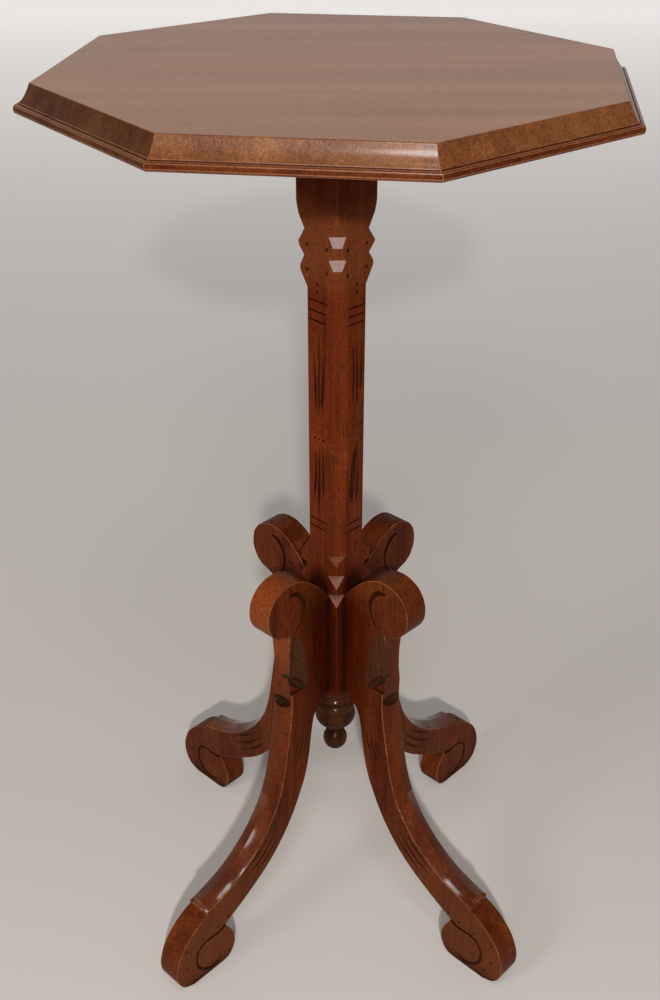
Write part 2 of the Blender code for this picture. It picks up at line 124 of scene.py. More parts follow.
def ramp(tree, value, low, high, out_low=0.0, out_high=1.0, curve="SMOOTHSTEP"):
    node = tree.nodes.new("ShaderNodeMapRange")
    node.interpolation_type = curve
    feed(tree, value, node.inputs["Value"])
    dial(node, {"From Min": low, "From Max": high, "To Min": out_low, "To Max": out_high})
    return node.outputs["Result"]


def mix_colour(tree, factor, a, b, blend="MIX"):
    node = tree.nodes.new("ShaderNodeMix")
    node.data_type = "RGBA"
    node.blend_type = blend
    feed(tree, factor, node.inputs[0])
    feed(tree, a, node.inputs[6])
    feed(tree, b, node.inputs[7])
    return node.outputs[2]


def split(tree, vector):
    """The X, Y and Z of a vector."""
    node = tree.nodes.new("ShaderNodeSeparateXYZ")
    tree.links.new(vector, node.inputs["Vector"])
    return node.outputs


def whereabouts(tree, kind="Object"):
    return tree.nodes.new("ShaderNodeTexCoord").outputs[kind]


def use(tree, group, place):
    """One of the groups, at work in a material."""
    node = tree.nodes.new("ShaderNodeGroup")
    node.node_tree = group
    tree.links.new(place, node.inputs["Place"])
    return node


def give(tree, outlet, masks):
    """Join what a group worked out to its outputs."""
    for label, source in masks.items():
        tree.links.new(source, outlet.inputs[label])


print("node tools ready")

# %% [markdown]
# ## Floor and light
#
# The picture was lit from close above the lens, so one small lamp stands there. It lays
# the top's shadow crisply across the head of the post. A wider lamp hangs higher up,
# where the front moulding mirrors it. A third hangs nearer, so that the ankles of the two
# front legs mirror it, and a soft one stands to the left. The backdrop is pale for the
# camera and for anything that mirrors the far side of the room, while the near side is
# dim, so that the varnish keeps its depth. The far floor is lifted a little, for the
# camera only, to the tone of the backdrop, and it keeps its shadows.


# %% Floor
def plain_material(name, colour, roughness):
    material = bpy.data.materials.new(name)
    material.use_nodes = True
    shader = material.node_tree.nodes["Principled BSDF"]
    dial(shader, {"Base Color": (*colour, 1), "Roughness": roughness})
    return material


bpy.ops.mesh.primitive_circle_add(vertices=96, radius=6, fill_type="NGON", location=(0, 0, 0))
floor = bpy.context.object
floor.name = "floor"
pale = plain_material("pale_floor", (0.70, 0.66, 0.635), 0.8)
tree = pale.node_tree
shader = tree.nodes["Principled BSDF"]
dial(shader, {"Specular IOR Level": 0.1, "Emission Color": (1.0, 0.97, 0.945, 1)})
lift = ramp(tree, split(tree, whereabouts(tree))["Y"], 0.1, 4.5, 0.0, 0.66, "LINEAR")
seen = tree.nodes.new("ShaderNodeLightPath").outputs["Is Camera Ray"]
tree.links.new(math_node(tree, "MULTIPLY", lift, seen), shader.inputs["Emission Strength"])
floor.data.materials.append(pale)
print("floor", round(floor.dimensions.x, 2), "m across")


# %% Lamps and the room's light
def add_lamp(name, place, aim, size, power, colour):
    lamp = bpy.data.lights.new(name, "AREA")
    lamp.shape = "DISK"
    lamp.size = size
    lamp.energy = power
    lamp.color = colour
    holder = bpy.data.objects.new(name, lamp)
    bpy.context.scene.collection.objects.link(holder)
    holder.location = place
    holder.rotation_euler = (Vector(aim) - Vector(place)).to_track_quat("-Z", "Y").to_euler()


add_lamp("lamp_over_camera", (0.0, -2.25, 1.65), (0, 0, 0.6), 0.09, 42, (1.0, 0.965, 0.92))
add_lamp("lamp_high_front", (-0.19, -2.04, 2.24), (0, 0, 0.6), 0.55, 12, (1.0, 0.98, 0.98))
add_lamp("lamp_near_front", (0.05, -1.05, 2.28), (0, 0, 0.1), 0.4, 4, (1.0, 0.97, 0.93))
add_lamp("lamp_left", (-1.6, -1.3, 1.5), (0, 0, 0.5), 0.7, 9.5, (1.0, 0.95, 0.88))

world = bpy.data.worlds.new("pale_room")
bpy.context.scene.world = world
world.use_nodes = True
sky = world.node_tree
room = sky.nodes["Background"]
dial(room, {"Color": (1.0, 0.965, 0.93, 1), "Strength": 0.2})
backdrop = sky.nodes.new("ShaderNodeBackground")
dial(backdrop, {"Color": (0.60, 0.575, 0.555, 1)})
rays = sky.nodes.new("ShaderNodeLightPath").outputs
heading = split(sky, whereabouts(sky, "Generated"))["Y"]
far_side = ramp(sky, heading, 0.35, 0.85, 0.15, 1.0, "LINEAR")
level = math_node(sky, "MAXIMUM", rays["Is Camera Ray"], far_side)
either = math_node(sky, "MAXIMUM", rays["Is Camera Ray"], rays["Is Glossy Ray"])
choice = sky.nodes.new("ShaderNodeMixShader")
for source, target in (
    (level, backdrop.inputs["Strength"]), (either, choice.inputs["Fac"]),
    (room.outputs["Background"], choice.inputs[1]),
    (backdrop.outputs["Background"], choice.inputs[2]),
    (choice.outputs[0], sky.nodes["World Output"].inputs["Surface"]),
):
    sky.links.new(source, target)
bpy.context.scene.view_settings.view_transform = "Standard"

# %% [markdown]
# ## Walnut under varnish
#
# Walnut shows long streaks, short dark pores and slow clouds of colour, all drawn out
# along the grain. One node group makes these three from a place in the wood. A Mapping
# node in front of it squeezes space along the grain, so round noise becomes streaks.
# A second group ages the finish and paints shade: colour is lost on handled spots, and
# inside corners are painted dark. Each group is built once, and every wood uses it with values of
# its own.

# %% Grain group
grain, grain_in, grain_out = new_group(
    "walnut_grain",
    [("Place", "NodeSocketVector", None), ("Streak Scale", "NodeSocketFloat", 260.0)],
    [("Cloud", "NodeSocketFloat"), ("Streak", "NodeSocketFloat"), ("Pore", "NodeSocketFloat")],
)
place = grain_in.outputs["Place"]
streak_scale = grain_in.outputs["Streak Scale"]
cloud = noise_node(grain, place, 26.0, 4.0, 0.6, 0.6)
broad = noise_node(grain, place, math_node(grain, "MULTIPLY", streak_scale, 0.35), 3.0, 0.6, 0.4)
fine = noise_node(grain, place, streak_scale, 4.0, 0.65, 0.2)
broad_share = math_node(grain, "MULTIPLY", broad, 0.55)
fine_share = math_node(grain, "MULTIPLY", fine, 0.45)
streak = math_node(grain, "ADD", broad_share, fine_share)
pits = noise_node(grain, place, math_node(grain, "MULTIPLY", streak_scale, 4.2), 2.0, 0.5)
give(grain, grain_out, {
    "Cloud": ramp(grain, cloud, 0.32, 0.68), "Streak": ramp(grain, streak, 0.36, 0.64),
    "Pore": ramp(grain, pits, 0.60, 0.70),
})
print("grain group has", len(grain.nodes), "nodes")

# %% [markdown]
# Old varnish is not even. It has worn thin in small patches where hands and dusters
# pass. Every inside corner is painted darker, as painted shade, and the varnish is a
# little rougher there. The group takes how open the surface is, from 0 in a deep corner
# to 1 in the open, and how much the place is rubbed. It gives back a painted corner
# shade mask, a wear mask and the gloss.

# %% Old varnish group
varnish, varnish_in, varnish_out = new_group(
    "old_varnish",
    [
        ("Place", "NodeSocketVector", None), ("Open", "NodeSocketFloat", 1.0),
        ("Gloss", "NodeSocketFloat", 0.3), ("Rub", "NodeSocketFloat", 0.0),
    ],
    [("Corner Shade", "NodeSocketFloat"), ("Wear", "NodeSocketFloat"), ("Roughness", "NodeSocketFloat")],
)
place = varnish_in.outputs["Place"]
smudge = noise_node(varnish, place, 34.0, 5.0, 0.62)
speck = noise_node(varnish, place, 420.0, 3.0, 0.6)
closed = ramp(varnish, varnish_in.outputs["Open"], 0.86, 0.42)
# Corner shade mask: closed corners, in patches. The woods paint shade with it, and the varnish is a
# little rougher there.
corner_shade = math_node(varnish, "MULTIPLY", closed, ramp(varnish, smudge, 0.2, 0.6, 0.65, 1.0))
rubbed = math_node(varnish, "ADD", smudge, varnish_in.outputs["Rub"])
worn_spots = ramp(varnish, speck, 0.38, 0.58)
wear = math_node(varnish, "MULTIPLY", ramp(varnish, rubbed, 0.54, 0.74), worn_spots)
dull = math_node(varnish, "MULTIPLY", corner_shade, 0.25)
rough = math_node(varnish, "ADD", varnish_in.outputs["Gloss"], dull)
dust = math_node(varnish, "MULTIPLY", ramp(varnish, speck, 0.3, 0.7), 0.08)
rough = math_node(varnish, "ADD", rough, dust, True)
give(varnish, varnish_out, {"Corner Shade": corner_shade, "Wear": wear, "Roughness": rough})
print("varnish group has", len(varnish.nodes), "nodes")

# %% [markdown]
# A third group says where on the stand a place is. Between the legs, next to the post,
# the wood is painted a deep dark red, as painted shade. Low on the front legs the colour
# has faded to a plain brown. A band on the head of the post, just below the top's
# shadow, is painted a lighter brown, as painted light.

# %% Places on the stand group
# Metres from none of a tone to all of it, along the height, the depth or out from the axis.
CORE_REACH, CORE_TOP, CORE_FOOT = (0.064, 0.036), (0.350, 0.310), (0.13, 0.21)
FADED_HEIGHT, FADED_DEPTH = (0.125, 0.06), (0.02, -0.05)
HEAD_FOOT, HEAD_TOP = (0.575, 0.605), (0.655, 0.640)
zones, zones_in, zones_out = new_group(
    "stand_zones",
    [("Place", "NodeSocketVector", None)],
    [("Core", "NodeSocketFloat"), ("Low Front", "NodeSocketFloat"), ("Lit Head", "NodeSocketFloat")],
)
parts = split(zones, zones_in.outputs["Place"])
level_place = zones.nodes.new("ShaderNodeCombineXYZ")
for axis in "XY":
    zones.links.new(parts[axis], level_place.inputs[axis])
axis_gap = zones.nodes.new("ShaderNodeVectorMath")
axis_gap.operation = "LENGTH"
zones.links.new(level_place.outputs["Vector"], axis_gap.inputs[0])


def both(first, second):
    return math_node(zones, "MULTIPLY", first, second)


def along(axis, limits):
    return ramp(zones, parts[axis], *limits)


core = both(ramp(zones, axis_gap.outputs["Value"], *CORE_REACH), along("Z", CORE_TOP))
core = both(core, along("Z", CORE_FOOT))
low_front = both(along("Z", FADED_HEIGHT), along("Y", FADED_DEPTH))
# Painted light: a band on the post's head, just below the top's shadow.
head = both(along("Z", HEAD_FOOT), along("Z", HEAD_TOP))
give(zones, zones_out, {"Core": core, "Low Front": low_front, "Lit Head": head})
print("zones group has", len(zones.nodes), "nodes")

# %% [markdown]
# A wood is then a short recipe: three browns for the dark streaks, the body and the
# light streaks, the direction of the grain, and how glossy the varnish is. The varnish
# itself is the shader's clear coat, which gives the pale sheen at a low angle. A recipe
# may name one spot painted lighter, a painted pool of light, by its place and its reach,
# and how much of each tone of the third group it takes.


# %% Wood recipe
# Tones the zones mix in: painted shade between the legs, a faded brown low at the front, and
# painted light on the post's head.
CORE_SHADE_TONE = (0.44, 0.24, 0.12, 1)
FADED_BROWN = (0.135, 0.040, 0.0115, 1)
HEAD_LIGHT_TONE = (0.20, 0.058, 0.019, 1)


def toned(colour, strength):
    """A lighter or darker tone of a colour, with its alpha."""
    return tuple(min(1, v * strength) for v in colour) + (1,)


def walnut(name, dark, body, light, grain_scale=(1, 1, 0.06), turn=(0, 0, 0), streaks=260.0,
           gloss=0.36, sheen=0.03, coat=0.02, coat_rough=0.22, relief=0.12, recess=0.012,
           pore=0.75, cloud=0.55, worn=0.35, rub=0.0, painted_light_spot=None, stain=0.0, faded=0.0, head=0.0):
    material = bpy.data.materials.new(name)
    material.use_nodes = True
    tree = material.node_tree
    shader = tree.nodes["Principled BSDF"]
    where = whereabouts(tree)
    mapping = tree.nodes.new("ShaderNodeMapping")
    dial(mapping, {"Rotation": turn, "Scale": grain_scale})
    tree.links.new(where, mapping.inputs["Vector"])
    figure = use(tree, grain, mapping.outputs["Vector"])
    dial(figure, {"Streak Scale": streaks})
    hollow = tree.nodes.new("ShaderNodeAmbientOcclusion")
    hollow.samples = 8
    dial(hollow, {"Distance": recess})
    finish = use(tree, varnish, where)
    dial(finish, {"Gloss": gloss, "Rub": rub})
    tree.links.new(hollow.outputs["AO"], finish.inputs["Open"])
    colour = mix_colour(tree, figure.outputs["Streak"], (*dark, 1), (*body, 1))
    lighter = math_node(tree, "MULTIPLY", figure.outputs["Cloud"], cloud)
    colour = mix_colour(tree, lighter, colour, (*light, 1))
    # Painted light: a spot on the surface is lit lighter, fading out toward its reach.
    if painted_light_spot:
        away = tree.nodes.new("ShaderNodeVectorMath")
        away.operation = "DISTANCE"
        tree.links.new(where, away.inputs[0])
        away.inputs[1].default_value = painted_light_spot[:3]
        lit_spot = ramp(tree, away.outputs["Value"], painted_light_spot[3], painted_light_spot[3] * 0.3, 0.0, 0.8)
        colour = mix_colour(tree, lit_spot, colour, toned(light, 1.4))
    pores = math_node(tree, "MULTIPLY", figure.outputs["Pore"], pore)
    colour = mix_colour(tree, pores, colour, toned(dark, 0.35))
    thin = math_node(tree, "MULTIPLY", finish.outputs["Wear"], worn)
    colour = mix_colour(tree, thin, colour, toned(light, 1.5))
    # The zones darken the wood between the legs as painted shade and lighten a band on the post's
    # head as painted light. Low on the front legs the tone is faded.
    if stain or faded or head:
        zone = use(tree, zones, where)
        for mask, share, tone, blend in (
            ("Core", stain, CORE_SHADE_TONE, "MULTIPLY"), ("Low Front", faded, FADED_BROWN, "MIX"),
            ("Lit Head", head, HEAD_LIGHT_TONE, "MIX"),
        ):
            amount = math_node(tree, "MULTIPLY", zone.outputs[mask], share)
            colour = mix_colour(tree, amount, colour, tone, blend)
    fleck = ramp(tree, noise_node(tree, where, 620.0, 3.0, 0.65), 0.34, 0.66, 0.74, 1.2)
    colour = mix_colour(tree, 1.0, colour, fleck, "MULTIPLY")
    # Painted shade: inside corners are darkened toward the darkest brown.
    painted_corner_shade = math_node(tree, "MULTIPLY", finish.outputs["Corner Shade"], 0.85)
    colour = mix_colour(tree, painted_corner_shade, colour, toned(dark, 0.16))
    tree.links.new(colour, shader.inputs["Base Color"])
    tree.links.new(finish.outputs["Roughness"], shader.inputs["Roughness"])
    dial(shader, {"Specular IOR Level": sheen, "Coat Weight": coat, "Coat Roughness": coat_rough})
    bump = tree.nodes.new("ShaderNodeBump")
    dial(bump, {"Strength": relief, "Distance": 0.0006})
    height = math_node(tree, "SUBTRACT", figure.outputs["Streak"], pores)
    tree.links.new(height, bump.inputs["Height"])
    tree.links.new(bump.outputs["Normal"], shader.inputs["Normal"])
    return material


POST_BROWNS = ((0.062, 0.0100, 0.0023), (0.125, 0.0180, 0.0034), (0.212, 0.041, 0.0075))
LEG_BROWNS = ((0.046, 0.0085, 0.0026), (0.097, 0.0174, 0.0045), (0.168, 0.038, 0.0092))
LEG_GRAIN_TURN = (0, 0.35, 0)
# In these recipes stain is how much painted shade falls between the legs, and head is how much
# painted light lies on the post's head.
POST_WOOD = walnut("walnut_post", *POST_BROWNS, recess=0.022, stain=0.6, head=0.5)
POST_ARRIS = walnut("walnut_post_arris", *POST_BROWNS, coat=0.08, rub=0.04, stain=0.5, head=0.5)
# The small facets that look up and to the front take a paler, greyer brown than the post, a painted
# highlight, besides their real gloss.
FACET_HIGHLIGHT_WOOD = walnut(
    "walnut_facet_highlight", POST_BROWNS[1], (0.14, 0.035, 0.014), (0.22, 0.09, 0.05),
    gloss=0.5, sheen=0.3, coat=0.6, coat_rough=0.4, relief=0.3, pore=0.3,
)
LOW_FACET_HIGHLIGHT_WOOD = walnut(
    "walnut_low_facet_highlight", POST_BROWNS[1], (0.14, 0.037, 0.017), (0.20, 0.08, 0.045),
    gloss=0.4, sheen=0.06, coat=0.06, coat_rough=0.3, relief=0.3, pore=0.3,
)
LEG_WOOD = walnut(
    "walnut_leg", *LEG_BROWNS, turn=LEG_GRAIN_TURN, recess=0.022, stain=0.88, faded=0.5,
)
# The legs' rounded arrises are much lighter: in part real wear, in part a painted highlight.
LEG_ARRIS = walnut(
    "walnut_leg_arris", (0.075, 0.018, 0.0055), (0.17, 0.050, 0.015), (0.28, 0.094, 0.030),
    coat=0.2, worn=0.6, rub=0.1, stain=0.8,
)
SHIN_WOOD = walnut(
    "walnut_shin", *LEG_BROWNS, turn=LEG_GRAIN_TURN, gloss=0.4, sheen=0.02, coat=0.85,
    coat_rough=0.13, worn=0.5, recess=0.02,
)
# The rims carry a painted pool of light on the front left leg's scroll.
RIM_WOOD = walnut(
    "walnut_rim", *LEG_BROWNS, turn=LEG_GRAIN_TURN, coat=0.05, worn=0.5,
    painted_light_spot=(-0.060, -0.060, 0.322, 0.08),
)
NOTCH_WOOD = walnut(
    "walnut_notch", (0.020, 0.0058, 0.0020), (0.050, 0.0160, 0.0055), (0.092, 0.034, 0.013),
    sheen=0.04, coat=0.04, relief=0.4, coat_rough=0.3, stain=0.4,
)
CUT_WOOD = walnut(
    "walnut_cut", (0.022, 0.0045, 0.0015), (0.050, 0.0098, 0.0027), (0.090, 0.022, 0.006),
    gloss=0.4, recess=0.006,
)
SOFT_CUT_WOOD = walnut(
    "walnut_soft_cut", (0.034, 0.0070, 0.0024), (0.070, 0.0150, 0.0042), (0.120, 0.031, 0.009),
    coat=0.05,
)
PUNCH_WOOD = walnut(
    "walnut_punched", (0.020, 0.0052, 0.0018), (0.042, 0.0115, 0.0036), (0.07, 0.022, 0.007),
    gloss=0.3, sheen=0.08, coat=0.12, coat_rough=0.2, recess=0.004,
)
print("post, leg and cut wood made")

# %% [markdown]
# ## Working with the hands of the modeller
#
# Every piece is shaped with Blender's own edit tools. An operator works on what is
# selected, so small helpers keep the selection clean: one selects a single piece, and
# another selects faces of it by a test on their place and on the way they look.


# %% Selection helpers
def only(*pieces):
    bpy.ops.object.select_all(action="DESELECT")
    for piece in pieces:
        piece.select_set(True)
    bpy.context.view_layer.objects.active = pieces[0]


def open_edit(piece, kind="FACE", everything=False):
    only(piece)
    bpy.ops.object.mode_set(mode="EDIT")
    bpy.ops.mesh.select_mode(type=kind)
    bpy.ops.mesh.select_all(action="SELECT" if everything else "DESELECT")


def close_edit():
    bpy.ops.object.mode_set(mode="OBJECT")


def pick(piece, test):
    """Select, in edit mode, the faces that pass a test."""
    bpy.ops.mesh.select_mode(type="FACE")
    bpy.ops.mesh.select_all(action="DESELECT")
    found = 0
    for face in bmesh.from_edit_mesh(piece.data).faces:
        if test(face):
            face.select_set(True)
            found += 1
    bmesh.update_edit_mesh(piece.data)
    return found


def dress(piece, index, test):
    """Give the faces that pass a test the finish with this index."""
    found = pick(piece, test)
    piece.active_material_index = index
    bpy.ops.object.material_slot_assign()
    return found


def clean(piece):
    """Merge doubled points and turn every face outwards."""
    open_edit(piece, everything=True)
    bpy.ops.mesh.remove_doubles(threshold=0.00001)
    bpy.ops.mesh.normals_make_consistent(inside=False)
    close_edit()


def settle(piece):
    """Bake a piece's place into its mesh, so its origin is the stand's origin."""
    only(piece)
    bpy.ops.object.transform_apply(location=True, rotation=True, scale=True)


print("helpers ready")

# %% [markdown]
# Two more helpers finish a piece. The first rounds every sharp arris by a fraction of a
# millimetre and gives the rounded strip the piece's second finish, a worn one. On the legs
# it is much lighter than the face beside it, in part real wear on an old edge and in part a
# painted highlight along it. The second carves: it takes a cutter away from the piece, and
# the fresh cut keeps the cutter's dark finish.


# %% Soften and carve
def soften(piece, width, angle, segments=3, clamp=True):
    rounding = piece.modifiers.new("arris", "BEVEL")
    rounding.width = width
    rounding.segments = segments
    rounding.limit_method = "ANGLE"
    rounding.angle_limit = math.radians(angle)
    rounding.miter_outer = "MITER_ARC"
    rounding.use_clamp_overlap = clamp
    rounding.material = 1
    only(piece)
    bpy.ops.object.modifier_apply(modifier=rounding.name)


def carve(piece, cutter, join=False):
    blade = piece.modifiers.new("carve", "BOOLEAN")
    blade.operation = "UNION" if join else "DIFFERENCE"
    blade.solver = "EXACT"
    blade.material_mode = "TRANSFER"
    blade.object = cutter
    only(piece)
    bpy.ops.object.modifier_apply(modifier=blade.name)
    bpy.data.objects.remove(cutter, do_unlink=True)


# A face narrower than about twice this many metres is a rounded strip, and stays smooth.
SLIVER = 0.0002


def shade(piece, angle=31, flat=None, level=100):
    """Smooth the curves and rounded arrises, and keep the faces that pass a test flat."""
    only(piece)
    bpy.ops.object.shade_smooth_by_angle(angle=math.radians(angle))
    if flat:
        open_edit(piece)
        pick(piece, lambda face: face.calc_area() > SLIVER * face.calc_perimeter() and flat(face))
        bpy.ops.mesh.faces_shade_flat()
        close_edit()
    if level:
        weights = piece.modifiers.new("even_faces", "WEIGHTED_NORMAL")
        weights.mode = "FACE_AREA"
        weights.weight = level
        weights.keep_sharp = True
        bpy.ops.object.modifier_apply(modifier=weights.name)


def join_pieces(pieces):
    only(*pieces)
    bpy.ops.object.join()
    return bpy.context.object


print("soften and carve ready")

# %% [markdown]
# ## The carver's marks
#
# Three tools left marks on this stand: a V-gouge for long tapered strokes and for the
# curl inside each scroll, a straight chisel for the grooves across the post, and a
# round punch for the dots. A stroke or a groove is cut with a thin tube along a curve,
# a dot with a small ball, and a hole with a rod.


# %% Cutters for strokes, dots and holes
# Dots, grooves and curls are sunk by this many millimetres, so that no cutter's corner
# lies on a face. The long strokes stand proud by these, which leaves them wide and shallow.
SUNK = 0.17
POST_STROKE_PROUD = 0.22
LEG_STROKE_PROUD = 0.33
# The radii of the cutters, in metres.
POST_STROKE, LEG_STROKE, GROOVE = 0.00148, 0.0015, 0.0008
SCROLL_CURL, FOOT_CURL = 0.0024, 0.0021
DOT, CENTRE_DOT, NOTCH_DOT, SIDE_DOT = 0.0011, 0.0013, 0.0014, 0.0012


def cutter_of(piece, finish=CUT_WOOD):
    """Settle a piece and give it the finish that its cut will show."""
    settle(piece)
    piece.data.materials.clear()
    piece.data.materials.append(finish)
    return piece


def gouge_cutter(points, radius, ends=0.08, swell=None, finish=CUT_WOOD):
    """A tube through points in metres, tapered to its ends or swelling as it is told."""
    bpy.ops.curve.primitive_bezier_curve_add()
    holder = bpy.context.object
    spline = holder.data.splines[0]
    spline.bezier_points.add(len(points) - len(spline.bezier_points))
    last = len(points) - 1
    for index, (knot, point) in enumerate(zip(spline.bezier_points, points)):
        knot.co = point
        knot.handle_left_type = knot.handle_right_type = "AUTO"
        along = index / last
        middle = math.sin(math.pi * along) ** 0.6
        knot.radius = swell[index] if swell else ends + (1 - ends) * middle
    holder.data.bevel_depth = radius
    holder.data.bevel_resolution = 1
    holder.data.resolution_u = 6
    holder.data.use_fill_caps = True
    only(holder)
    bpy.ops.object.convert(target="MESH")
    cutter_of(holder, finish)
    clean(holder)
    return holder


def punch_cutter(place, radius):
    bpy.ops.mesh.primitive_uv_sphere_add(segments=10, ring_count=6, radius=radius, location=place)
    return cutter_of(bpy.context.object, PUNCH_WOOD)


def rod_cutter(radius, low, high, sides=20):
    """A round rod between two points in millimetres."""
    a = Vector(low) * MM
    b = Vector(high) * MM
    bpy.ops.mesh.primitive_cylinder_add(
        vertices=sides, radius=radius * MM, depth=(b - a).length, location=(a + b) / 2,
    )
    rod = bpy.context.object
    rod.rotation_euler = (b - a).to_track_quat("Z", "Y").to_euler()
    return cutter_of(rod)


print("cutters ready")

# %% [markdown]
# ## The top
#
# The top is one board, cut to an octagon. Its edge is moulded: a long bevel, a narrow
# quirk, and a rounded lip below. It starts as a flat octagon at the underside and is
# drawn upwards ring by ring with extrude, move and scale, which is how a moulding
# plane's profile goes round a board. The top sits turned a little on its post.

# %% Top board
TOP_TURN = math.radians(-8.8)
TOP_LIP_HEIGHT = 724.9 * MM
TOP_GRAIN = (0.06, 1, 1)
# Way out from the axis to a flat, and height, in millimetres, from the underside up.
top_rings = (
    (193.6, 718.5), (194.6, 719.0), (195.1, 720.2), (195.1, 722.2), (194.7, 723.4), (193.7, 724.2),
    (192.6, 724.2), (192.3, 723.5), (191.6, 723.6), (191.4, 725.0), (190.2, 726.2), (188.6, 728.2),
    (186.9, 731.0), (185.6, 733.6), (184.6, 736.2), (184.1, 737.0),
)


def octagon_corner(flat):
    return flat * MM / math.cos(math.pi / 8)


bpy.ops.mesh.primitive_circle_add(
    vertices=8, radius=octagon_corner(top_rings[0][0]), fill_type="NGON",
    location=(0, 0, top_rings[0][1] * MM), rotation=(0, 0, math.pi / 8 + TOP_TURN),
)
top = bpy.context.object
top.name = "top"
settle(top)
open_edit(top, everything=True)
for (wide, low), (next_wide, high) in zip(top_rings, top_rings[1:]):
    bpy.ops.mesh.extrude_region_move(TRANSFORM_OT_translate={"value": (0, 0, (high - low) * MM)})
    share = next_wide / wide
    bpy.ops.transform.resize(value=(share, share, 1), center_override=(0, 0, high * MM))
close_edit()
clean(top)
TOP_WOOD = walnut(
    "walnut_top", (0.210, 0.060, 0.0100), (0.265, 0.079, 0.0130), (0.345, 0.125, 0.022),
    grain_scale=TOP_GRAIN, streaks=120.0, gloss=0.38, sheen=0.5, coat=0.5, coat_rough=0.3,
    pore=0.25, relief=0.1, worn=0.12, cloud=0.8,
)
TOP_ARRIS = walnut(
    "walnut_top_arris", (0.12, 0.034, 0.0095), (0.21, 0.066, 0.020), (0.31, 0.115, 0.041),
    grain_scale=TOP_GRAIN, sheen=0.3, coat=0.4, coat_rough=0.2,
)
MOULDED = dict(grain_scale=(1, 1, 0.5), streaks=420.0, pore=0.8, relief=0.2, recess=0.006)
TOP_EDGE_WOOD = walnut(
    "walnut_moulding", (0.095, 0.025, 0.0065), (0.165, 0.049, 0.0125), (0.26, 0.098, 0.029),
    gloss=0.32, sheen=0.2, coat=0.75, coat_rough=0.14, **MOULDED,
)
TOP_LIP_WOOD = walnut(
    "walnut_lip", (0.054, 0.0095, 0.0018), (0.094, 0.0175, 0.0030), (0.155, 0.037, 0.0070),
    sheen=0.06, coat=0.22, coat_rough=0.14, **MOULDED,
)
# The moulding's faces that look left are painted darker, as painted shade.
TOP_LEFT_SHADED_WOOD = walnut(
    "walnut_left_moulding_shaded", (0.040, 0.0105, 0.0026), (0.075, 0.0220, 0.0052), (0.125, 0.042, 0.011),
    sheen=0.08, coat=0.3, coat_rough=0.2, **MOULDED,
)
for material in (TOP_WOOD, TOP_ARRIS, TOP_EDGE_WOOD, TOP_LIP_WOOD, TOP_LEFT_SHADED_WOOD):
    top.data.materials.append(material)


def moulded(face):
    return abs(face.normal.z) < 0.98


open_edit(top)
found = dress(top, 2, moulded)
dress(top, 3, lambda face: moulded(face) and face.calc_center_median().z < TOP_LIP_HEIGHT)
# Faces of the moulding that look left take the painted shade.
dress(top, 4, lambda face: moulded(face) and face.normal.x < -0.25)
close_edit()
print("top board has", len(top.data.polygons), "faces,", found, "of them moulding")

# %% Soften the top and bore it for the cleat's screws
soften(top, 0.0008, angle=20, segments=2)
SCREW_REACH = 59.4
SCREW_TIP = 728.7
SCREW_RADIUS = 2.4
BORE = 20
bits = [
    rod_cutter(SCREW_RADIUS, (x, y, SCREW_TIP - BORE), (x, y, SCREW_TIP), sides=16)
    for x, y in ((0, -SCREW_REACH), (SCREW_REACH, 0), (0, SCREW_REACH), (-SCREW_REACH, 0))
]
carve(top, join_pieces(bits))
shade(top, 26)
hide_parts("top_board")
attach(top, "root")
print("top finished with", len(top.data.polygons), "faces")

# %% [markdown]
# ## The post
#
# The post is one length of square stock standing corner forward. Below its head each
# corner has two V-notches, then a long flat chamfer, and above the legs three more
# notches, which read from the front as a row of small bright triangles. It starts as
# a box. The waste at a corner is drawn as an outline, given a width and cut away. The
# notches were spaced by eye, so the front and right corners have outlines of their own.

# %% Square stock
POST_SIDE = 40.2
POST_HALF = POST_SIDE / 2
POST_CORNER = POST_SIDE / math.sqrt(2)
POST_TOP = 697.9
POST_FOOT = 223.5
bpy.ops.mesh.primitive_cube_add(
    size=1, location=(0, 0, (POST_TOP + POST_FOOT) / 2 * MM), rotation=(0, 0, math.pi / 4),
)
post = bpy.context.object
post.name = "carved_post"
post.scale = (POST_SIDE * MM, POST_SIDE * MM, (POST_TOP - POST_FOOT) * MM)
settle(post)
for material in (POST_WOOD, POST_ARRIS, FACET_HIGHLIGHT_WOOD, LOW_FACET_HIGHLIGHT_WOOD):
    post.data.materials.append(material)
print("post stock is", [round(v, 4) for v in post.dimensions])


# %% Boards from an outline
def sawn_board(name, outline, thickness, resolution=1):
    """A flat outline of points in millimetres, each (x, z) or, where it is a sharp
    corner, (x, z, 1), given a thickness along Y."""
    bpy.ops.curve.primitive_bezier_circle_add()
    board = bpy.context.object
    board.name = name
    curve = board.data
    curve.dimensions = "2D"
    curve.fill_mode = "BOTH"
    curve.extrude = thickness / 2 * MM
    curve.resolution_u = resolution
    spline = curve.splines[0]
    spline.bezier_points.add(len(outline) - len(spline.bezier_points))
    for knot, (x, z, *sharp) in zip(spline.bezier_points, outline):
        knot.co = (x * MM, z * MM, 0)
        knot.handle_left_type = knot.handle_right_type = "VECTOR" if sharp else "AUTO"
    only(board)
    board.rotation_euler = (math.pi / 2, 0, 0)
    bpy.ops.object.convert(target="MESH")
    settle(board)
    open_edit(board, everything=True)
    bpy.ops.mesh.remove_doubles(threshold=0.00002)
    bpy.ops.mesh.dissolve_limited(angle_limit=math.radians(0.05))
    bpy.ops.mesh.normals_make_consistent(inside=False)
    close_edit()
    return board


def turned_copy(piece, angle, name=None):
    """A copy with its own mesh, turned about the stand's axis."""
    twin = piece.copy()
    twin.data = piece.data.copy()
    bpy.context.collection.objects.link(twin)
    twin.rotation_euler = (0, 0, angle)
    if name:
        twin.name = name
    settle(twin)
    return twin


print("board helper ready")

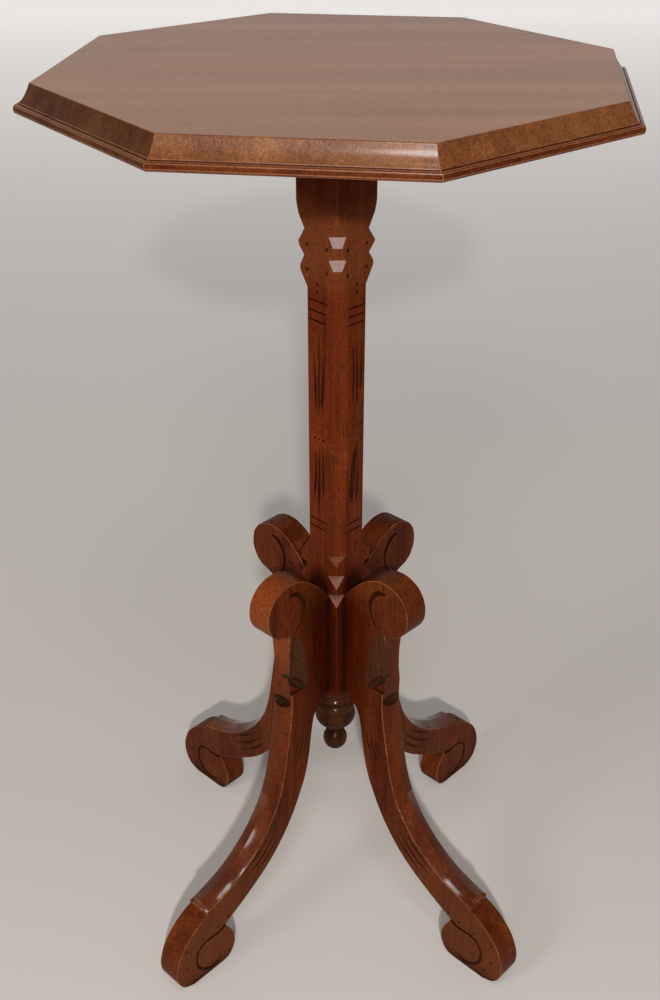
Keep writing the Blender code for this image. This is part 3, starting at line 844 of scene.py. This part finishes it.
# %% Notch the corners
# Depth of the cut at the corner, and height, from the head down to the chamfer.
HEAD_START = 648.9
BASE_END = 315.8
side_head = (
    (0.0, HEAD_START), (0.6, 643.0), (1.7, 637.3), (4.1, 631.5), (6.4, 626.2), (4.1, 621.6),
    (1.4, 617.3), (1.7, 614.9), (6.4, 606.6), (4.2, 602.4), (2.4, 598.5), (2.6, 596.5),
    (7.5, 584.9),
)
right_head = (
    (0.0, HEAD_START), (0.6, 643.0), (1.7, 637.8), (4.1, 632.0), (6.4, 626.8), (4.1, 622.2),
    (1.2, 618.0), (1.4, 616.4), (6.2, 609.2), (4.0, 605.2), (2.0, 601.6), (2.2, 599.6),
    (7.5, 587.0),
)
front_head = (
    (0.0, HEAD_START), (0.6, 643.0), (1.9, 637.5), (4.2, 632.0), (6.45, 627.0), (3.4, 619.2),
    (3.3, 618.0), (6.5, 610.2), (3.4, 602.4), (3.3, 601.2), (7.5, 592.3),
)
base_cuts = (
    (7.5, 362.5), (6.9, 362.4), (0.0, 356.0), (0.0, 348.5), (6.9, 345.7), (6.9, 343.8),
    (0.0, 333.5), (0.0, 329.8), (6.9, 327.0), (6.9, 325.2), (0.0, BASE_END),
)


def corner_waste(head, angle):
    """What is cut off a corner; where the cut is nothing, the outline keeps clear of it."""
    cuts = head + base_cuts
    outline = [(POST_CORNER - cut if cut else POST_CORNER + 0.2, z, 1) for cut, z in cuts]
    outline += [(POST_CORNER + 3, BASE_END, 1), (POST_CORNER + 3, HEAD_START, 1)]
    board = cutter_of(sawn_board("corner_waste", outline, 30), POST_WOOD)
    turned = turned_copy(board, math.radians(angle))
    bpy.data.objects.remove(board, do_unlink=True)
    return turned


heads = ((right_head, 0), (side_head, 90), (side_head, 180), (front_head, 270))
carve(post, join_pieces([corner_waste(head, angle) for head, angle in heads]))
clean(post)
# Only the facets that face up and to the front get these paler finishes, a painted highlight.
open_edit(post)
facets = 0
for index, low, high in ((2, 0.5, 0.645), (3, 0.3, 0.5)):
    facets += dress(post, index, lambda face: face.normal.z > 0.25 and face.normal.y < -0.5
                    and low < face.calc_center_median().z < high)
close_edit()
print("small facets that look up:", facets)
print("post has", len(post.data.polygons), "faces after the notches")
soften(post, 0.00035, angle=14)
print("and", len(post.data.polygons), "with softened arrises")

# %% [markdown]
# The carver's marks come next. On every face there are punched dots beside each notch,
# three fine grooves, three long gouge strokes, a row of dots, three shorter strokes,
# and two grooves over the base. They were cut by eye too, so the left and right faces
# differ. The two back faces, which the picture doesn't show, repeat these two.


# %% Carving on the post
def on_face(t, z, proud=-SUNK):
    """A place on the face that looks along +X, t across and z up, in millimetres."""
    return ((POST_HALF + proud) * MM, t * MM, z * MM)


def stroke(t0, z0, t1, z1):
    """A wide, shallow gouge stroke, a little bowed, with a long thin start at the top."""
    points = []
    for s in (0, 0.25, 0.5, 0.75, 1):
        bow = 0.35 * math.sin(math.pi * s)
        points.append(on_face(t0 + (t1 - t0) * s + bow, z0 + (z1 - z0) * s, POST_STROKE_PROUD))
    return gouge_cutter(points, POST_STROKE, swell=(0.2, 0.62, 0.95, 1.0, 0.35))


NOTCH_DOTS = ((-9.7, 617.0), (9.7, 617.5), (-9.7, 598.5), (9.7, 600.0))
CENTRE_DOTS = ((0, 589.5), (0, 583.5))
CORNER_DOTS = ((-13.5, 353.5), (13.5, 353.5), (-13.5, 335.9), (13.5, 335.9))


def dots(places, radius):
    return [punch_cutter(on_face(t, z), radius) for t, z in places]


def groove(z):
    """A fine groove across the face, not quite straight."""
    wave = [on_face(t, z + 0.2 * math.sin(t)) for t in (-9.8, -4, 4, 9.8)]
    return gouge_cutter(wave, GROOVE, ends=0.5)


def face_marks(grooves, strokes, row, base_dots):
    marks = dots(NOTCH_DOTS, NOTCH_DOT) + dots(CENTRE_DOTS, CENTRE_DOT)
    marks += [groove(z) for z in grooves] + [stroke(*line) for line in strokes]
    marks += dots(row + base_dots + CORNER_DOTS, DOT)
    return join_pieces(marks)


left_marks = face_marks(
    (576.7, 568.8, 561.5, 392.8, 385.8),
    ((1.5, 553, 1.0, 486), (-3.7, 537, -1.6, 489), (6.6, 536, 4.1, 491),
     (1.2, 459, 0.8, 403), (-1.4, 455, -3.8, 412.5), (5.3, 459, 5.6, 416)),
    ((-2.9, 465.4), (1.4, 465.4), (5.8, 465.4)), ((1.9, 373.3), (-9.7, 359.3)),
)
right_marks = face_marks(
    (572.5, 566.0, 559.7, 391.0, 383.8),
    ((-3.2, 545, -3.0, 497.5), (0.8, 547.6, 1.3, 492), (5.8, 547, 4.8, 502),
     (1.6, 462.6, -3.4, 410.5), (-1.5, 454, -5.2, 415), (4.1, 445, 1.3, 409)),
    ((-2.4, 477), (1.3, 477), (6.2, 477)), ((2.2, 369.2), (1.5, 363.1), (11.8, 357.0)),
)
for pattern, angles in ((left_marks, (45, 225)), (right_marks, (135, 315))):
    for angle in angles:
        carve(post, turned_copy(pattern, math.radians(angle)))
    bpy.data.objects.remove(pattern, do_unlink=True)
print("carved post has", len(post.data.polygons), "faces")

# %% [markdown]
# The joints are hidden, but a joiner would miss them: a square tenon on top for the
# cleat, with a saw cut for its wedge, a round socket below for the drop's tenon, and
# two dowel holes for each leg.


# %% Joints on the post
def box_cutter(size, middle):
    """A box turned as the post is, from its size and the height of its middle."""
    bpy.ops.mesh.primitive_cube_add(
        size=1, location=(0, 0, middle * MM), rotation=(0, 0, math.pi / 4),
    )
    box = bpy.context.object
    box.scale = [v * MM for v in size]
    return cutter_of(box)


TENON, TENON_MIDDLE = (25, 25, 22.2), 707.0
SAW_CUT, SAW_CUT_MIDDLE = (3.4, 50, 17), 712.4
SOCKET_RADIUS, SOCKET_FOOT, SOCKET_TOP = 7.3, 221.5, 236.1
DOWEL_RADIUS, DOWEL_START, DOWEL_END = 4.3, 6.8, 35.4
DOWEL_HEIGHTS = (247.9, 300.6)
carve(post, box_cutter(TENON, TENON_MIDDLE), join=True)
carve(post, box_cutter(SAW_CUT, SAW_CUT_MIDDLE))
carve(post, rod_cutter(SOCKET_RADIUS, (0, 0, SOCKET_FOOT), (0, 0, SOCKET_TOP)))
dowels = [rod_cutter(DOWEL_RADIUS, (DOWEL_START, 0, z), (DOWEL_END, 0, z)) for z in DOWEL_HEIGHTS]
dowel_set = join_pieces(dowels)
for angle in (45, 135, 225, 315):
    carve(post, turned_copy(dowel_set, math.radians(angle)))
shade(post, flat=lambda face: True, level=0)
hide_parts("post")
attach(post, "root")
print("post finished with", len(post.data.polygons), "faces")

# %% [markdown]
# ## The legs
#
# A leg is sawn from a board 22 mm thick. Its outline is drawn once as a smooth curve:
# the scroll at the top, a flat neck, the long sweep down, a step, and the foot curling
# under. The outer face of the sweep rises to a low ridge that grows toward the foot. The
# finished leg and its mirror image stand in pairs, so that the chips, which only one
# side of a leg carries, look forward on all four.

# %% Saw the outline
# Distance from the axis and height in millimetres, with a third value at sharp corners.
leg_outline = (
    (20.4, 325.0, 1), (26.9, 333.6), (38.0, 345.0), (49.9, 353.0), (62.1, 356.0), (74.0, 353.5),
    (83.4, 345.5), (87.5, 332.9), (85.5, 320.4), (78.1, 311.5), (70.1, 308.5), (64.9, 306.9, 1),
    (64.3, 290.1), (63.9, 269.8), (63.9, 246.0, 1), (63.5, 234.6, 1), (64.5, 222.0),
    (67.0, 205.1), (70.1, 186.9), (73.0, 170.0), (77.1, 153.1), (83.4, 136.0), (92.5, 121.0),
    (104.0, 107.0), (118.0, 94.5), (133.6, 84.4), (150.0, 77.6), (163.0, 73.7), (169.5, 72.6, 1),
    (168.5, 69.4, 1), (178.0, 65.1), (188.0, 58.0), (197.1, 48.1), (203.0, 36.0), (205.3, 24.4),
    (203.4, 13.2), (198.0, 5.0), (187.5, 0.0, 1), (154.9, 0.0, 1), (147.5, 1.8), (142.0, 8.5),
    (139.5, 18.2), (141.6, 28.1), (145.5, 36.5), (149.5, 43.4, 1), (134.0, 51.6), (119.0, 60.5),
    (105.4, 69.4), (92.1, 80.1), (77.5, 96.1), (66.0, 112.9), (56.9, 130.5), (49.5, 148.1),
    (45.0, 165.9), (42.1, 184.1), (39.9, 199.0), (36.6, 211.1), (31.0, 218.9), (26.0, 222.5),
    (20.4, 223.5, 1),
)
LEG_THICK = 22.0
leg = sawn_board("leg_front_right_carved", leg_outline, LEG_THICK, 6)
leg.data.materials.clear()
for material in (LEG_WOOD, LEG_ARRIS, SHIN_WOOD, RIM_WOOD):
    leg.data.materials.append(material)
open_edit(leg, everything=True)
bpy.ops.mesh.remove_doubles(threshold=0.0003)
close_edit()
print("leg blank has", len(leg.data.polygons), "faces, box", [round(v, 4) for v in leg.dimensions])

# %% Raise the ridge
RIDGE_TOP = 233.8 * MM
RIDGE_FOOT = 73.0 * MM
RIDGE = 3.3 * MM
RIDGE_GROWS_OVER = 150 * MM
open_edit(leg, everything=True)
for y in (-6.0, 0.0, 6.0):
    bpy.ops.mesh.select_all(action="SELECT")
    bpy.ops.mesh.bisect(plane_co=(0, y * MM, 0), plane_no=(0, 1, 0))
close_edit()
# Every move is worked out before the first is made, because a move turns the normals
# of its neighbours.
moves = []
for point in leg.data.vertices:
    normal = point.normal.copy()
    outer = normal.x + normal.z > 0.05 and abs(normal.y) < 0.3
    if abs(point.co.y) < 8 * MM and outer and RIDGE_FOOT < point.co.z < RIDGE_TOP:
        grow = 0.8 + 0.5 * min(1, (RIDGE_TOP - point.co.z) / RIDGE_GROWS_OVER)
        across = 1.0 if abs(point.co.y) < 1 * MM else 0.6
        way = Vector((normal.x, 0, normal.z)).normalized()
        moves.append((point, way * (RIDGE * grow * across)))
for point, move in moves:
    point.co += move
print("ridge raised at", len(moves), "points")

# %% The shin and the rims
# Heights in metres where the finish of the outer face changes, and how near the post.
TOE_TOP, SHIN_FOOT, SHIN_TOP, NECK_FOOT = 0.069, 0.0735, 0.140, 0.200
NEAR_POST = 0.036


def on_edge(face):
    """Whether a face belongs to the sawn edge and not to the board's sides."""
    return abs(face.normal.y) < 0.6


def looks_out(face):
    return face.normal.x + face.normal.z > 0.3


def on_shin(face):
    level = face.calc_center_median().z
    return on_edge(face) and looks_out(face) and SHIN_FOOT < level < SHIN_TOP


def on_rim(face):
    x, _, z = face.calc_center_median()
    neck = x > NEAR_POST and z > SHIN_TOP and (z > NECK_FOOT or looks_out(face))
    toe = face.normal.x > 0.2 and z < TOE_TOP
    return on_edge(face) and (neck or toe)


open_edit(leg)
dress(leg, 2, on_shin)
dress(leg, 3, on_rim)
close_edit()
soften(leg, 0.0005, angle=34, clamp=False)
strips = sum(face.area for face in leg.data.polygons if face.material_index == 1) / MM ** 2
print("leg has", len(leg.data.polygons), "faces,", round(strips), "square mm of them arrises")

# %% [markdown]
# Under the top scroll a long scoop hollows each corner of the neck, down to a ledge. On
# the side that looks forward a sloping chip runs from the outer face round the corner
# and down the side, and under it the scoop keeps the colour of the wood. A wide chip
# crosses the outer face below, so a small block stands between the two. A scoop is part
# of a long thin ball, and a chip is a stretched ball, like the bite of a gouge.


# %% Scoops and chips
def chip_cutter(centre, along, inward, sizes):
    """A gouge bite from its centre: half length, depth and half height, in millimetres."""
    u = Vector(along).normalized()
    w = (Vector(inward) - u * Vector(inward).dot(u)).normalized()
    v = w.cross(u)
    bpy.ops.mesh.primitive_uv_sphere_add(segments=20, ring_count=12, radius=1)
    bite = bpy.context.object
    bite.scale = [size * MM for size in sizes]
    bpy.ops.object.transform_apply(location=False, rotation=False, scale=True)
    bite.rotation_euler = Matrix((u, w, v)).transposed().to_euler()
    bite.location = Vector(centre) * MM
    return cutter_of(bite, NOTCH_WOOD)


SCOOP_RADIUS = 41.7
SCOOP_DEEP = 2.6
LEDGE = 245.5
SLOPE_AT = Vector((64, 0, 261)) * MM
SLOPE_WAY = Vector((0.741, 0, -0.671))
# On the far side, at -1, the scoop is shorter and fades out by itself.
for side, middle, tall in ((-1, 277.0, 84.0), (1, 250.0, 158.0)):
    bpy.ops.mesh.primitive_uv_sphere_add(
        segments=160, ring_count=80, radius=1,
        location=(60 * MM, side * (LEG_THICK / 2 + SCOOP_RADIUS - SCOOP_DEEP) * MM, middle * MM),
    )
    scoop = bpy.context.object
    scoop.scale = (SCOOP_RADIUS * MM, SCOOP_RADIUS * MM, tall * MM)
    cutter_of(scoop, NOTCH_WOOD).data.materials.append(RIM_WOOD)
    if side == 1:
        open_edit(scoop, everything=True)
        bpy.ops.mesh.bisect(
            plane_co=(0, 0, LEDGE * MM), plane_no=(0, 0, -1), clear_outer=True, use_fill=True,
        )
        bpy.ops.mesh.select_all(action="SELECT")
        bpy.ops.mesh.bisect(plane_co=SLOPE_AT, plane_no=SLOPE_WAY)
        dress(scoop, 1, lambda face: (face.calc_center_median() - SLOPE_AT).dot(SLOPE_WAY) > 0)
        close_edit()
    carve(leg, scoop)
for bite in (
    chip_cutter((57.3, 11.2, 254.6), (-14.5, 0, -16.0), (0, -1, 0), (13.2, 6.0, 4.5)),
    chip_cutter((64.4, 5.0, 262.8), (0, 1, 0.35), (-1, 0, 0), (7.5, 2.2, 2.2)),
    chip_cutter((64.9, -1.0, 234.4), (0, 1, 0.18), (-1, 0, -0.2), (10.8, 5.6, 4.9)),
):
    carve(leg, bite)
print("leg has", len(leg.data.polygons), "faces with scoops and chips")

# %% [markdown]
# Each side of a leg is carved too: a curl inside the upper scroll, deep where it
# starts, three long strokes down the sweep, three more toward the foot, another curl
# on the foot, and punched dots beside the curls.

# %% Carving on the sides
# Points are distance from the axis and height, in millimetres.
scroll_curl = (
    (64, 346.5), (57.5, 345), (51.5, 339), (48.8, 331), (49.6, 322), (53.5, 313.5), (60.5, 306.5),
)
foot_curl = (
    (149.8, 43.6), (155, 40.6), (163, 40.4), (172, 40.6), (180, 36.2), (183.2, 27), (181, 15),
    (173, 7.5), (164, 5.5), (157, 9.5),
)
side_strokes = (
    ((46.5, 199), (49.5, 184), (55, 169)), ((51, 207), (54.5, 185), (62.5, 163)),
    ((56.5, 199), (59.5, 184), (64.5, 172)), ((82, 103), (96, 88), (115, 74)),
    ((84, 111), (103, 91), (128, 75.5)), ((92, 111), (108, 97), (126, 86)),
)
side_dots = (
    (62, 350.5), (40.5, 328.5), (47.5, 308.5), (158, 47.5), (174, 45.5), (193, 46), (194, 25),
    (188, 11), (146, 50.5),
)


def on_side(side, points, proud=-SUNK):
    y = side * (LEG_THICK / 2 + proud) * MM
    return [(x * MM, y, z * MM) for x, z in points]


for side in (-1, 1):
    marks = [
        gouge_cutter(on_side(side, scroll_curl), SCROLL_CURL,
                     swell=(0.5, 1.0, 1.0, 0.8, 0.5, 0.4, 0.15)),
        gouge_cutter(on_side(side, foot_curl), FOOT_CURL, finish=SOFT_CUT_WOOD,
                     swell=(1.0, 0.9, 0.7, 0.6, 0.6, 0.7, 0.8, 0.8, 0.7, 0.3)),
    ]
    for line in side_strokes:
        marks.append(gouge_cutter(on_side(side, line, LEG_STROKE_PROUD), LEG_STROKE, ends=0.24))
    marks += [punch_cutter(place, SIDE_DOT) for place in on_side(side, side_dots)]
    carve(leg, join_pieces(marks))
carve(leg, dowel_set)
print("carved leg has", len(leg.data.polygons), "faces")

# %% The leg's mirror image
twin_leg = turned_copy(leg, 0, "mirrored_leg")
open_edit(twin_leg, everything=True)
bpy.ops.transform.resize(value=(1, -1, 1), center_override=(0, 0, 0))
bpy.ops.mesh.normals_make_consistent(inside=False)
close_edit()
for blank in (leg, twin_leg):
    shade(blank, angle=24, flat=lambda face: abs(face.normal.y) > 0.999, level=50)
print("the legs make two mirrored pairs")

# %% Copy the legs to their four places
LEG_PLACES = {
    "leg_front_right": (twin_leg, -45), "leg_rear_right": (leg, 45),
    "leg_rear_left": (twin_leg, 135), "leg_front_left": (leg, 225),
}
for node, (blank, angle) in LEG_PLACES.items():
    fitted = turned_copy(blank, math.radians(angle), node + "_carved")
    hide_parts(node)
    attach(fitted, "root")
for blank in (leg, twin_leg):
    bpy.data.objects.remove(blank, do_unlink=True)
print("four legs stand on", len(LEG_PLACES), "faces of the post")

# %% [markdown]
# ## The drop
#
# The drop is turned on a lathe from a darker piece: a bead, two rings, a bowl, and a
# ball on a thin neck. Its profile is half an outline, spun once round the axis.

# %% Turn the drop
# Radius and height in millimetres, from the tenon down to the ball.
drop_profile = (
    (0, 235.2), (7, 235.2), (7, 223.4), (15.0, 223.2), (15.2, 221.8), (13.4, 218.6), (12.4, 213.4),
    (13.2, 208.4), (15.2, 206.2), (16.2, 204.6), (15.8, 202.6), (14.2, 201.0), (14.0, 199.2),
    (15.8, 197.6), (17.0, 195.2), (16.8, 193.0), (15.4, 191.6), (15.2, 190.2), (16.4, 188.0),
    (17.5, 185.2), (17.7, 182.4), (17.2, 179.6), (15.6, 176.6), (13.2, 173.8), (10.3, 170.4),
    (7.0, 167.7), (4.5, 165.8), (4.6, 164.8), (6.8, 163.4), (9.0, 160.8), (10.3, 157.4),
    (10.6, 154.4), (10.2, 151.2), (8.9, 148.2), (6.6, 145.6), (3.4, 144.0), (0, 143.6),
)
bpy.ops.mesh.primitive_plane_add(size=0.01, location=(0, 0, 0))
drop = bpy.context.object
drop.name = "turned_finial"
open_edit(drop, "VERT", everything=True)
bpy.ops.mesh.merge(type="CENTER")
bpy.ops.transform.translate(value=Vector((0, 0, drop_profile[0][1] * MM)))
for (r0, z0), (r1, z1) in zip(drop_profile, drop_profile[1:]):
    step = ((r1 - r0) * MM, 0, (z1 - z0) * MM)
    bpy.ops.mesh.extrude_region_move(TRANSFORM_OT_translate={"value": step})
bpy.ops.mesh.select_all(action="SELECT")
bpy.ops.mesh.spin(steps=64, angle=math.tau, center=(0, 0, 0), axis=(0, 0, 1))
close_edit()
clean(drop)
DROP_WOOD = walnut(
    "walnut_drop", (0.022, 0.0052, 0.0016), (0.046, 0.0118, 0.0036), (0.110, 0.036, 0.0115),
    grain_scale=(1, 1, 0.3), gloss=0.34, sheen=0.04, coat=0.12, coat_rough=0.14,
    recess=0.006, relief=0.25,
)
drop.data.materials.append(DROP_WOOD)
shade(drop, 42)
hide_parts("turned_drop")
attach(drop, "root")
print("drop has", len(drop.data.polygons), "faces")

# %% [markdown]
# ## The hidden pieces
#
# The cleat under the top, its screws, the wedge and the dowels are already the right
# shape in the joiner's model. They only need their finishes: thinly varnished walnut
# for the cleat, pale bare wood for the dowels and the wedge, and dull steel.

# %% Finishes for the carried pieces
CLEAT_WOOD = walnut(
    "walnut_cleat", (0.030, 0.009, 0.004), (0.075, 0.024, 0.010), (0.130, 0.048, 0.020),
    grain_scale=TOP_GRAIN, gloss=0.5, coat=0.2, relief=0.3,
)
PALE_WOOD = walnut(
    "pale_dowel_wood", (0.22, 0.12, 0.055), (0.34, 0.20, 0.10), (0.45, 0.29, 0.16),
    grain_scale=(1, 1, 0.1), gloss=0.6, coat=0.0, relief=0.3, worn=0.1,
)


def screw_steel():
    material = plain_material("screw_steel", (0.3, 0.29, 0.28), 0.4)
    tree = material.node_tree
    shader = tree.nodes["Principled BSDF"]
    dial(shader, {"Metallic": 1.0})
    where = whereabouts(tree)
    stain = noise_node(tree, where, 900.0, 4.0, 0.6)
    rusty = ramp(tree, stain, 0.45, 0.7)
    colour = mix_colour(tree, rusty, (0.34, 0.33, 0.32, 1), (0.13, 0.08, 0.05, 1))
    tree.links.new(colour, shader.inputs["Base Color"])
    tree.links.new(ramp(tree, stain, 0.3, 0.7, 0.3, 0.6), shader.inputs["Roughness"])
    return material


STEEL = screw_steel()
for name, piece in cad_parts.items():
    finish = None
    if name == "cleat_block":
        finish = CLEAT_WOOD
    elif name.startswith("cleat_screw"):
        finish = STEEL
    elif name.startswith("dowel") or name == "tenon_wedge":
        finish = PALE_WOOD
    if finish:
        for slot in piece.material_slots:
            slot.material = finish
print("finished", len(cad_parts), "nodes")
